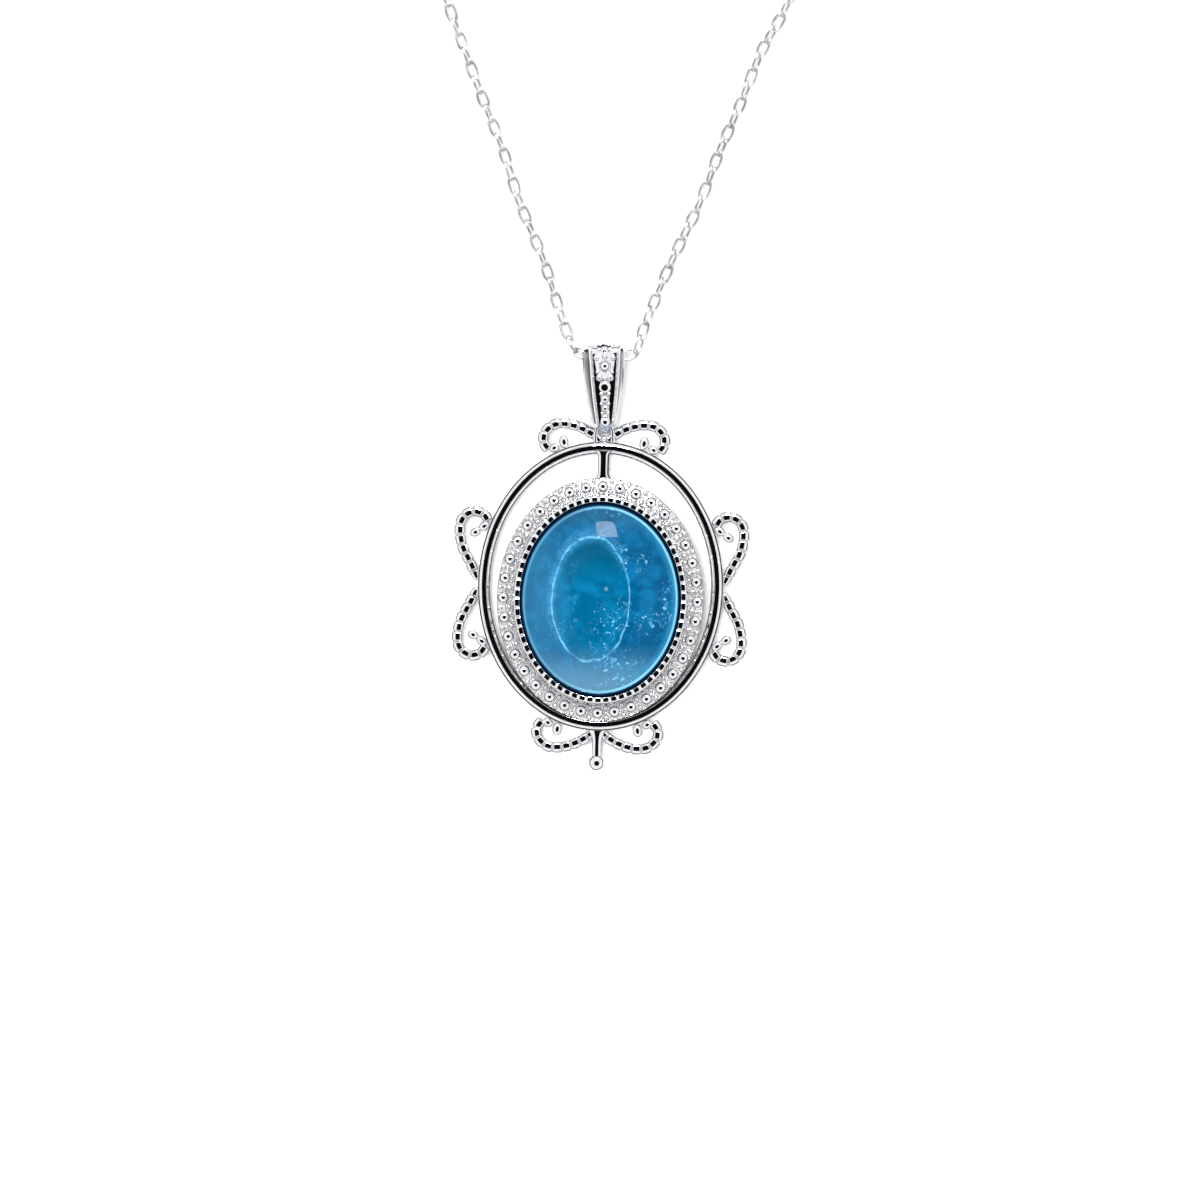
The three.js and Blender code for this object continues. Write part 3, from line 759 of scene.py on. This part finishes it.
# the wire's route from its root, the ball that it curls to, and the ball at its very end
SIDE_SCROLL = {
    "route": [
        (12.35, 0.4), (12.95, 1.8), (13.4, 2.65), (13.85, 3.55), (14.1, 4.5), (14.2, 5.45),
        (14.05, 6.3), (13.5, 6.95), (12.65, 7.2), (11.8, 6.85), (11.42, 6.25),
    ],
    "curl": (11.8, 5.76),
    "curl_size": (0.6, 0.46),
    "end": (12.68, 5.14),
    "end_size": (0.56, 0.47),
    "end_lean": math.radians(-34),
    "inside": -1,
}
END_SCROLL = {
    "route": [
        (0.36, 14.4), (0.64, 14.74), (1.0, 15.07), (1.42, 15.36), (2.3, 15.8), (3.2, 16.08), (4.1, 16.2),
        (5.0, 16.07), (5.75, 15.5), (6.05, 14.8), (5.9, 14.05), (5.5, 13.6),
    ],
    "curl": (4.98, 13.76),
    "curl_size": (0.56, 0.46),
    "end": (4.02, 14.4),
    "end_size": (0.68, 0.5),
    "end_lean": math.radians(80),
    "inside": 1,
}


def beaded_section(share, inside, size):
    """The wire's section along one segment: flat on top toward the inside, cut down at both ends."""
    away = abs(2 * share - 1)
    notch = max(0.0, (away - (1 - NOTCH_SHARE)) / NOTCH_SHARE)
    half = SCROLL_HALF_WIDTH * (1 - 0.06 * notch)
    lower = 0.07 * away**4 + 0.09 * notch
    outline = [
        (half, SKIRT), (half, 0.19 - lower), (half - 0.12, 0.29 - lower), (0.29, 0.35 - lower),
        (-0.16, 0.35 - lower), (0.12 - half, 0.24 - lower), (-half, 0.14 - lower), (-half, SKIRT),
    ]
    rounded = fillet(outline)
    return [((inward - WIRE_SHIFT) * inside * size, up * size) for inward, up in rounded]


def scroll(node, shape, flip_x, flip_y):
    """One scroll, mirrored from the one at the upper right."""
    place = Matrix.Diagonal((flip_x, flip_y, 1, 1))
    solid = Solid()
    points = [place @ Vector((x, y, SCROLL_HEIGHT)) for x, y in shape["route"]]
    line = catmull(points, 16)
    length = line_length(line)
    pillows = round(length / PILLOW_LENGTH)
    stations = resample(line, pillows * PILLOW_STATIONS)
    inside = shape["inside"] * flip_x * flip_y

    def section_at(i):
        travelled = length * i / (pillows * PILLOW_STATIONS)
        size = ROOT_SIZE + (1 - ROOT_SIZE) * min(1.0, travelled / TAPER)
        return beaded_section((i % PILLOW_STATIONS) / PILLOW_STATIONS, inside, size)

    solid.rings(sweep_rows(stations, section_at))
    curl = place @ Vector((*shape["curl"], SCROLL_HEIGHT))
    end = place @ Vector((*shape["end"], SCROLL_HEIGHT))
    toward_end = end - curl
    lean = math.atan2(toward_end.y, toward_end.x)
    solid.ball(curl, (*shape["curl_size"], BALL_RISE), turn=lean)
    end_lean = shape["end_lean"] * flip_x * flip_y
    solid.ball(end, (*shape["end_size"], BALL_RISE), turn=end_lean)
    solid.piece(f"{node}_beaded", [node])


for side, flip_x in (("left", -1), ("right", 1)):
    scroll(f"scroll_top_{side}", END_SCROLL, flip_x, 1)
    scroll(f"scroll_bottom_{side}", END_SCROLL, flip_x, -1)
    scroll(f"scroll_{side}_upper", SIDE_SCROLL, flip_x, 1)
    scroll(f"scroll_{side}_lower", SIDE_SCROLL, flip_x, -1)


# -------- the drop, the bar and the loop

HINGE_Y, HINGE_Z = 16.0, 0.9


def ridge_section(half, height):
    """A bar's section: a narrow flat top and gentle slopes to its sides."""
    flat = 0.34 * half
    outline = [
        (half, SKIRT), (half, height - 0.17), (half - 0.08, height - 0.103), (flat, height),
        (-flat, height), (0.08 - half, height - 0.103), (-half, height - 0.17), (-half, SKIRT),
    ]
    return fillet(outline)


def drop():
    """The stem below the ring, wide at its root, and the ball on its end."""
    stem = Solid()
    line = [Vector((0, y, 0.84)) for y in (-14.1, -14.45, -14.8, -15.15, -15.5, -16.2, -16.6, -17.0)]
    widths = (0.95, 0.85, 0.68, 0.53, 0.49, 0.48, 0.48, 0.5)
    stem.rings(sweep_rows(line, lambda i: ridge_section(widths[i], 0.46)))
    stem.piece("drop_stem_fine", ["drop_stem"])
    ball = Solid()
    ball.ball(Vector((0, -17.72, 0.82)), (0.88, 0.88, 0.62), 48, 28)
    ball.piece("drop_ball_fine", ["drop_ball"])


def top_bar():
    """The bar from the medallion up to the ring, wider where it meets them."""
    solid = Solid()
    low = MEDALLION_Y + PLATE_Y - 0.12
    high = RING_Y - 0.95
    count = 20
    line = [Vector((0, low + (high - low) * k / count, 0.95)) for k in range(count + 1)]

    def section_at(k):
        away = abs(2 * k / count - 1)
        wide = 1 + 0.7 * away**8
        outline = [
            (0.58, SKIRT), (0.58, 0.1), (0.38, 0.265), (0.24, 0.33),
            (-0.28, 0.33), (-0.46, 0.25), (-0.55, 0.175), (-0.55, SKIRT),
        ]
        return [(across * wide, up) for across, up in fillet(outline)]

    solid.rings(sweep_rows(line, section_at))
    solid.piece("top_bar_fine", ["top_bar"])


def hinge_staple():
    """The loop that the bail's eye turns in, and the bead where the top scrolls meet."""
    solid = Solid()
    left_leg = [(-0.86, 14.3), (-0.84, 15.0), (-0.82, 15.5), (-0.7, 15.86), (-0.4, 16.0)]
    right_leg = [(-x, y) for x, y in reversed(left_leg)]
    points = [Vector((x, y, HINGE_Z)) for x, y in left_leg + right_leg]
    solid.rings(sweep_rows(catmull(points, 8), lambda i: round_section(0.27, 18)))
    solid.piece("hinge_loop_fine", ["hinge_loop"])
    bead = Solid()
    bead.ball(Vector((0, 14.75, 1.0)), (0.42, 0.36, 0.5))
    bead.piece("junction_bead_fine", ["junction_bead"])


drop()
top_bar()
hinge_staple()


# -------- the medallion

BEAD_COUNT = 36
FLANGE_SEGMENTS = 192
TEETH = 66
TOOTH_TOP = 3.2
TOOTH_SEGMENTS = 16
TOOTH_CUT = 0.07
GROOVE_SHARE = 0.33
STONE_LEVELS = 40
STONE_TURNS = 144

# half sizes of the oval that the big beads stand on, their radius and the height of their tops
BIG_BEADS = (9.7, 11.33, 0.57, 2.06)
# the same for the small beads between them, with how far round to the next one and their own rise
SMALL_BEADS = (
    (10.08, 11.86, 0.5, 0.28, 0.24, 1.74),
    (9.16, 10.86, 0.5, 0.26, 0.24, 1.78),
    (9.66, 11.36, 0.5, 0.15, 0.15, 1.82),
    (10.2, 12.02, 0.17, 0.13, 0.14, 1.56),
    (10.2, 12.02, 0.83, 0.13, 0.14, 1.56),
    (9.02, 10.7, 0.15, 0.14, 0.15, 1.62),
    (9.02, 10.7, 0.85, 0.14, 0.15, 1.62),
)


def medallion():
    """The flange and the gallery under it, the beads on the flange, and the seat of the stone."""
    plate = Solid()
    flange = [(0.02, 1.2), (0, 1.42), (0.08, 1.5), (0.82, 1.86), (1.56, 1.5), (2.15, 1.45), (2.15, 1.2)]
    gallery = [(1.55, 0), (1.55, 1.25), (2.1, 1.25), (2.1, 0)]
    for outline, rounding in ((flange, 0.05), (gallery, 0.08)):
        profile = fillet(outline, rounding)
        band = oval_band(PLATE_X, PLATE_Y, lambda angle: profile, FLANGE_SEGMENTS, MEDALLION_Y)
        plate.rings(band, closed=True)
    plate.piece("medallion_flange", ["medallion_plate"], material=granulated_silver)

    border = Solid()

    def on_border(semi_x, semi_y, place, height):
        angle = 2 * math.pi / BEAD_COUNT * place
        return Vector((semi_x * math.cos(angle), MEDALLION_Y + semi_y * math.sin(angle), height))

    big_x, big_y, big_radius, big_top = BIG_BEADS
    for i in range(BEAD_COUNT):
        border.stud(on_border(big_x, big_y, i, big_top), big_radius)
        for semi_x, semi_y, shift, size, rise, height in SMALL_BEADS:
            border.ball(on_border(semi_x, semi_y, i + shift, height), (size, size, rise), 14, 7)
    border.piece("bead_border_fine", ["bead_border"])

    seat = Solid()
    ledge = fillet([(0, 1.25), (0, 1.7), (4.2, 1.7), (4.2, 1.25)], 0.08, 5)
    seat.rings(oval_band(8.08, 9.94, lambda angle: ledge, 128, MEDALLION_Y), closed=True)
    seat.piece("stone_seat_fine", ["stone_seat"])


def bezel():
    """The wall round the stone, with grooves cut across its top that leave square teeth."""

    def profile_at(angle):
        from_groove = 1 - abs(2 * ((angle * TEETH / (2 * math.pi)) % 1.0) - 1)
        cut = TOOTH_CUT * max(0.0, 1 - from_groove / GROOVE_SHARE)
        top = TOOTH_TOP - cut
        outline = [
            (0.02, 1.55), (0.02, top - 0.12), (0.05, top - 0.05), (0.15, top), (0.58, top),
            (0.66, top - 0.12), (0.64, 1.78),
        ]
        return fillet(outline)

    solid = Solid()
    solid.rings(oval_band(8.66, 10.36, profile_at, TEETH * TOOTH_SEGMENTS, MEDALLION_Y), closed=True)
    solid.piece("bezel_teeth", ["bezel_wall"])


def cabochon():
    """The stone: a flat bottom, a short upright girdle and an elliptic dome."""
    girdle = STONE_BOTTOM + 0.6
    profile = [(0.5, STONE_BOTTOM), (0.97, STONE_BOTTOM), (1.0, STONE_BOTTOM + 0.12), (1.0, girdle)]
    for i in range(1, STONE_LEVELS):
        angle = math.pi / 2 * i / STONE_LEVELS
        profile.append((math.cos(angle), girdle + (STONE_TOP - girdle) * math.sin(angle)))
    turns = [2 * math.pi * j / STONE_TURNS for j in range(STONE_TURNS)]
    solid = Solid()
    rows = []
    for radius, z in profile:
        across, along = radius * STONE_X, radius * STONE_Y
        rows.append([Vector((across * math.cos(a), MEDALLION_Y + along * math.sin(a), z)) for a in turns])
    solid.rings(rows)
    solid.piece("cabochon_fine", ["cabochon"], material=blue_stone)


medallion()
bezel()
cabochon()


# -------- the bail

BAIL_TOP_Y = 24.38
BAIL_TOP_RADIUS = 1.6
BAIL_MIDDLE_Y = BAIL_TOP_Y - BAIL_TOP_RADIUS
BAIL_LIP = (16.2, 2.45)
BAIL_BACK_END_Y = 17.0
BACK_SINKS = 0.3
BAIL_ROLL = math.radians(4.5)
BAIL_LEAN = math.radians(2.4)
# stations along the strap: on its front, over its top and down its back
FRONT_STATIONS = 20
TOP_STATIONS = 28
BACK_STATIONS = 12
bail_place = (
    Matrix.Translation((0, HINGE_Y, HINGE_Z))
    @ Matrix.Rotation(BAIL_LEAN, 4, "Z")
    @ Matrix.Rotation(BAIL_ROLL, 4, "Y")
    @ Matrix.Translation((0, -HINGE_Y, -HINGE_Z))
)


def superellipse_arc(start, end, steps, power=2.8):
    """Part of a circle from one angle to another, slightly squared where it has passed the top."""
    points = []
    for k in range(steps + 1):
        angle = start + (end - start) * k / steps
        y, z = math.cos(angle), math.sin(angle)
        squared = 1.0 if angle > math.pi / 2 else (abs(y) ** power + abs(z) ** power) ** (-1 / power)
        points.append((y * squared, z * squared))
    return points


def bail_line():
    """The strap's outer face, from the front lip over the top and down the back, as (y, z)."""
    front = math.atan2(2 * BAIL_TOP_RADIUS - BAIL_LIP[1], BAIL_MIDDLE_Y - BAIL_LIP[0])
    line = []
    lip_y, lip_z = BAIL_LIP
    top_y = BAIL_MIDDLE_Y - BAIL_TOP_RADIUS * math.sin(front)
    top_z = BAIL_TOP_RADIUS + BAIL_TOP_RADIUS * math.cos(front)
    for k in range(FRONT_STATIONS):
        share = k / FRONT_STATIONS
        line.append((lip_y + (top_y - lip_y) * share, lip_z + (top_z - lip_z) * share))
    top = superellipse_arc(math.pi / 2 + front, -math.pi / 2, TOP_STATIONS)
    line.extend((BAIL_MIDDLE_Y + BAIL_TOP_RADIUS * y, BAIL_TOP_RADIUS + BAIL_TOP_RADIUS * z) for y, z in top)
    back = BAIL_MIDDLE_Y - BAIL_BACK_END_Y
    for k in range(1, BACK_STATIONS + 1):
        line.append((BAIL_MIDDLE_Y - back * k / BACK_STATIONS, BACK_SINKS * (k / BACK_STATIONS) ** 3))
    return line


# y, half width of the base and half width of the front face
BAIL_WIDTHS = (
    (16.2, 1.3, 0.94), (18.0, 1.64, 1.15), (19.0, 1.8, 1.26), (20.6, 2.0, 1.4), (22.8, 2.1, 1.52),
    (23.8, 2.1, 1.6), (24.2, 2.06, 1.62), (24.4, 1.96, 1.6),
)


def bail_widths(y):
    """Half widths of the bail at y: of its base and of its front face."""
    for (y0, base0, face0), (y1, base1, face1) in zip(BAIL_WIDTHS, BAIL_WIDTHS[1:]):
        if y <= y1:
            share = max(0.0, (y - y0) / (y1 - y0))
            return base0 + (base1 - base0) * share, face0 + (face1 - face0) * share
    return BAIL_WIDTHS[-1][1:]


RIM_WIDTH = 0.27
RECESS = 0.26
BASE_SHIFT = 0.11
LEFT_STEEPNESS = 0.815
RIGHT_STEEPNESS = 0.55
RIM_DROP = 0.15


def bail_wall(edge, face, strip, low, front, steepness):
    """One side wall's outline: up from the back, and in over a slope that ends at the rim."""
    foot = -RIM_DROP * front - steepness * (edge - strip - face)
    return [(edge - 0.14, low - 0.1), (edge, foot - 0.09), (edge - strip, foot)]


def bail_strap():
    """The strap: side walls, two rounded rims and the channel between them, down to a plain back."""
    solid = Solid(bail_place)
    line = [Vector((0, y, z)) for y, z in bail_line()]
    ways = directions(line)
    rows = []
    for i, (point, way) in enumerate(zip(line, ways)):
        base, face = bail_widths(point.y)
        # front fades from 1 to 0 over the top, and deep already where the top starts
        front = 1 - smooth_share((i - FRONT_STATIONS - 16) / 12)
        painted_window_shade = 1 - smooth_share((i - FRONT_STATIONS + 1) / 5)
        face = base - 0.12 + (face - base + 0.12) * front
        low = -0.42 - 0.42 * painted_window_shade
        strip = (0.24 - 0.14 * smooth_share((point.y - 17) / 6)) * front
        rim = [
            (face, -RIM_DROP * front), (face - 0.05, -0.03 * front), (face - 0.12, 0), (face - 0.15, 0),
            (face - 0.22, -0.04 * front), (face - RIM_WIDTH, -0.14 * front),
            (face - RIM_WIDTH - 0.03, -RECESS * front),
        ]
        shift = BASE_SHIFT * front
        right = [*bail_wall(base - shift, face, strip, low, front, RIGHT_STEEPNESS), *rim]
        left = [*bail_wall(base + shift, face, strip, low, front, LEFT_STEEPNESS), *rim]
        outline = fillet([*right, *[(-x, z) for x, z in reversed(left)]])
        normal = Vector((0, -way.z, way.y))
        rows.append([point + Vector((across, 0, 0)) + normal * height for across, height in outline])
    solid.rings(rows)
    solid.piece("bail_strap", ["bail_shell"], "bail")


TIP_HALF_SIZES = ((0.5, 0.35), (1.2, 0.75), (1.15, 0.75), (1.0, 0.6))
EYE_OUTER, EYE_INNER = 0.68, 0.33
EYE_BEADS_AT = 0.6
EYE_TURNS = 32


def bail_tip():
    """The block at the foot of the strap and the eye that turns in the pendant's loop."""
    tip = Solid(bail_place)
    tip_line = [Vector((0, y, z)) for y, z in ((18.6, 1.2), (18.0, 1.2), (17.4, 1.15), (17.15, 1.1))]
    tip.rings(sweep_rows(tip_line, lambda i: superellipse(*TIP_HALF_SIZES[i], 4, 24)))
    rows = []
    for radius, x in (
        (EYE_INNER, -0.4), (EYE_INNER + 0.06, -0.45), (EYE_OUTER - 0.08, -0.45), (EYE_OUTER, -0.37),
        (EYE_OUTER, 0.37), (EYE_OUTER - 0.08, 0.45), (EYE_INNER + 0.06, 0.45), (EYE_INNER, 0.4),
    ):
        circle = circle_outline(radius, EYE_TURNS, (HINGE_Y, HINGE_Z))
        rows.append([Vector((x, y, z)) for y, z in circle])
    tip.rings(rows, closed=True)
    neck = [Vector((0, y, HINGE_Z + 0.1)) for y in (16.55, 16.9, 17.3)]
    tip.rings(sweep_rows(neck, lambda i: superellipse(0.4, 0.4, 3, 20)))
    for x in (-0.28, 0, 0.28):
        for angle in (55, 85, 115, 145):
            turn = math.radians(angle)
            y = HINGE_Y + EYE_BEADS_AT * math.cos(turn)
            z = HINGE_Z + EYE_BEADS_AT * math.sin(turn)
            tip.ball(Vector((x, y, z)), (0.13, 0.13, 0.12), 12, 8)
    # the eye and block wear the blue-grey metal, tinted as painted shade
    tip.piece("bail_eye", [], "bail", shaded_knuckle_silver)


# x, y, half width and rise of each bead in the bail's channel
BAIL_BEADS = (
    (0, 23.4, 0.5, 0.3), (-0.55, 23.55, 0.26, 0.2), (0.55, 23.55, 0.26, 0.2), (-1.2, 24.0, 0.24, 0.2),
    (1.2, 24.0, 0.24, 0.2), (-0.42, 24.02, 0.2, 0.2), (0.02, 24.06, 0.22, 0.22), (0.44, 24.02, 0.2, 0.2),
    (-0.84, 24.04, 0.19, 0.18), (0.84, 24.04, 0.19, 0.18), (0, 21.95, 0.64, 0.56), (0, 22.85, 0.36, 0.34),
    (0, 16.4, 0.5, 0.24), (-0.82, 22.74, 0.3, 0.22), (0.82, 22.74, 0.3, 0.22),
    (-0.55, 20.78, 0.34, 0.24), (0.55, 20.78, 0.34, 0.24), (0, 20.7, 0.22, 0.2), (0, 19.87, 0.6, 0.165),
    (0, 18.65, 0.38, 0.2), (0, 17.73, 0.34, 0.18), (0, 16.85, 0.3, 0.18), (-0.36, 19.2, 0.2, 0.14),
    (0.36, 19.2, 0.2, 0.14), (-0.34, 18.2, 0.17, 0.12), (0.34, 18.2, 0.17, 0.12),
    (-0.3, 17.28, 0.15, 0.1), (0.3, 17.28, 0.15, 0.1), (-0.72, 21.35, 0.2, 0.16), (0.72, 21.35, 0.2, 0.16),
)
BEAD_LIFT = 0.1
CHANNEL_DEPTH = 0.3

# places along the channel, with the half width and the rise of what the beads stand on
BED = [(16.6, 0.42, 0.16), (18.0, 0.45, 0.16), (19.5, 0.5, 0.17), (20.6, 0.5, 0.17)]
CROWN = [
    (20.45, 0.5, 0.12), (20.7, 0.72, 0.24), (21.4, 0.98, 0.34), (22.4, 1.16, 0.4), (23.0, 1.2, 0.4),
    (23.5, 1.22, 0.38), (23.95, 1.2, 0.32),
]
BED_POWER = 2
CROWN_POWER = 1.06


def bail_beads():
    """The beads in the channel, each on the sloping floor, with small ones beside the upper ones."""
    solid = Solid(bail_place)
    slope = (2 * BAIL_TOP_RADIUS - BAIL_LIP[1]) / (BAIL_MIDDLE_Y - BAIL_LIP[0])

    def floor_at(y):
        if y < BAIL_MIDDLE_Y:
            return BAIL_LIP[1] + slope * (y - BAIL_LIP[0]) - CHANNEL_DEPTH
        reach = y - BAIL_MIDDLE_Y
        return BAIL_TOP_RADIUS - CHANNEL_DEPTH + math.sqrt(max(0.0, BAIL_TOP_RADIUS**2 - reach**2))

    for x, y, size, rise in BAIL_BEADS:
        solid.ball(Vector((x, y, floor_at(y) + BEAD_LIFT)), (size, size, rise), 24, 14)
    solid.piece("bail_beads", ["bail_bead_strip"], "bail")
    for name, material, stations, power in (
        ("bail_bead_bed", textured_silver, BED, BED_POWER),
        ("bail_crown", silver, CROWN, CROWN_POWER),
    ):
        bed = Solid(bail_place)
        line = [Vector((0, y, floor_at(y) - 0.02)) for y, width, rise in stations]
        bed.rings(sweep_rows(line, lambda i: superellipse(stations[i][1], stations[i][2], power, 32)))
        bed.piece(name, [], "bail", material)


bail_strap()
bail_tip()
bail_beads()


# -------- surface, world and lights

FLOOR_HALF = 1.5
floor_mesh = bpy.data.meshes.new("surface")
corners = [(x * FLOOR_HALF, y * FLOOR_HALF, 0) for x, y in ((-1, -1), (1, -1), (1, 1), (-1, 1))]
floor_mesh.from_pydata(corners, [], [(0, 1, 2, 3)])
floor_mesh.materials.append(floor_material())
floor = bpy.data.objects.new("surface", floor_mesh)
bpy.context.scene.collection.objects.link(floor)


# angles from straight up, except that the opening's edge is measured from the opening's middle
OPENING_LEAN = math.radians(5)
OPENING_OUTSIDE = math.radians(27)
OPENING_INSIDE = math.radians(22)
FOOT_STARTS = math.radians(64)
FOOT_FULL = math.radians(77)
TENT_WHITE = (1.12, 1.12, 1.12, 1)
FOOT_DARK = (0.05, 0.05, 0.055, 1)
OPENING_DARK = (0.004, 0.004, 0.005, 1)


def white_tent():
    """A white tent, darker along its foot, with a dark opening that leans to the lower right."""
    world = bpy.data.worlds.new("tent")
    bpy.context.scene.world = world
    world.use_nodes = True
    nodes = Nodes(world.node_tree)
    way = nodes.add("ShaderNodeTexCoord").outputs["Generated"]
    height = nodes.add("ShaderNodeSeparateXYZ", {0: way}).outputs[2]
    lens = Vector((1, -1, 0)).normalized() * math.sin(OPENING_LEAN) + Vector((0, 0, math.cos(OPENING_LEAN)))
    lens_product = nodes.add("ShaderNodeVectorMath", {0: way, 1: lens}, operation="DOT_PRODUCT")
    near_lens = lens_product.outputs["Value"]
    opening = nodes.ramp(near_lens, math.cos(OPENING_OUTSIDE), math.cos(OPENING_INSIDE))
    foot = nodes.ramp(height, math.cos(FOOT_STARTS), math.cos(FOOT_FULL))
    level = nodes.mix(foot, TENT_WHITE, FOOT_DARK)
    level = nodes.mix(opening, level, OPENING_DARK)
    background = nodes.add("ShaderNodeBackground", {"Color": level, "Strength": 1.0})
    nodes.add("ShaderNodeOutputWorld", {0: background.outputs[0]})


LAMP_COLOUR = (1.0, 0.985, 0.965)


def softbox(name, bearing, elevation, distance, size, power, turn=0):
    """A rectangular lamp that looks at the middle of the pendant; angles are in degrees."""
    lamp = bpy.data.lights.new(name, "AREA")
    lamp.shape = "RECTANGLE"
    lamp.size, lamp.size_y = size
    lamp.energy = power
    lamp.color = LAMP_COLOUR
    made = bpy.data.objects.new(name, lamp)
    bearing = math.radians(bearing)
    elevation = math.radians(elevation)
    level = math.cos(elevation)
    away = Vector((level * math.sin(bearing), level * math.cos(bearing), math.sin(elevation)))
    target = Vector(row(0, 0, 2))
    made.location = target + away * distance
    aim = away.to_track_quat("Z", "Y").to_matrix().to_4x4() @ Matrix.Rotation(math.radians(turn), 4, "Z")
    made.rotation_euler = aim.to_euler()
    bpy.context.scene.collection.objects.link(made)
    return made


white_tent()
# the window is only seen in polished things, and the other two only light matt ones
window_light = softbox("window_light", 5, 45, distance=0.5, size=(0.14, 0.16), power=3.3, turn=12)
window_light.visible_diffuse = False
key_light = softbox("key_light", -80, 72, distance=0.6, size=(0.3, 0.3), power=2.7)
key_light.visible_glossy = False
fill_light = softbox("fill_light", 0, 88, distance=0.8, size=(0.5, 0.5), power=2.1)
fill_light.visible_glossy = False

bpy.context.scene.view_settings.view_transform = "Standard"
bpy.context.scene.view_settings.look = "None"
